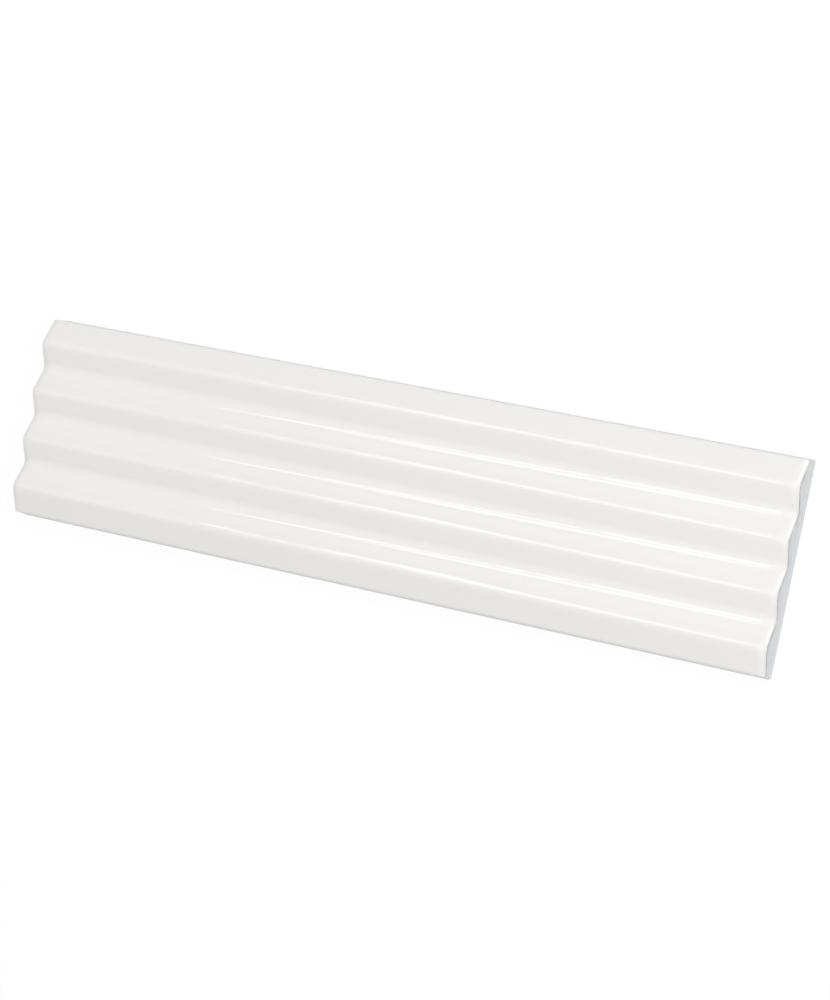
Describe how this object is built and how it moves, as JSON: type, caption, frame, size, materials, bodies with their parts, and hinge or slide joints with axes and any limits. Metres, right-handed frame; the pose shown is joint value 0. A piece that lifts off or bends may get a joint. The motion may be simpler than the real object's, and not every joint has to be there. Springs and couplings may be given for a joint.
{
  "type": "wave wall tile",
  "caption": "Long narrow glazed ceramic wall tile with a face of smooth lengthwise waves, bare sides and a flat keyed back that is bedded in adhesive.",
  "frame": {"origin": "centre of the flat back, which lies on the floor or against the wall", "axes": "+X along the waves, +Y across them, +Z from the back to the glazed face"},
  "size_m": [0.2, 0.05, 0.0088],
  "materials": {
    "glazed_body": "gloss white glaze on the face, bare pale grey biscuit on the sides and back"
  },
  "bodies": {
    "root": {"tile": "glazed_body"}
  },
  "joints": []
}
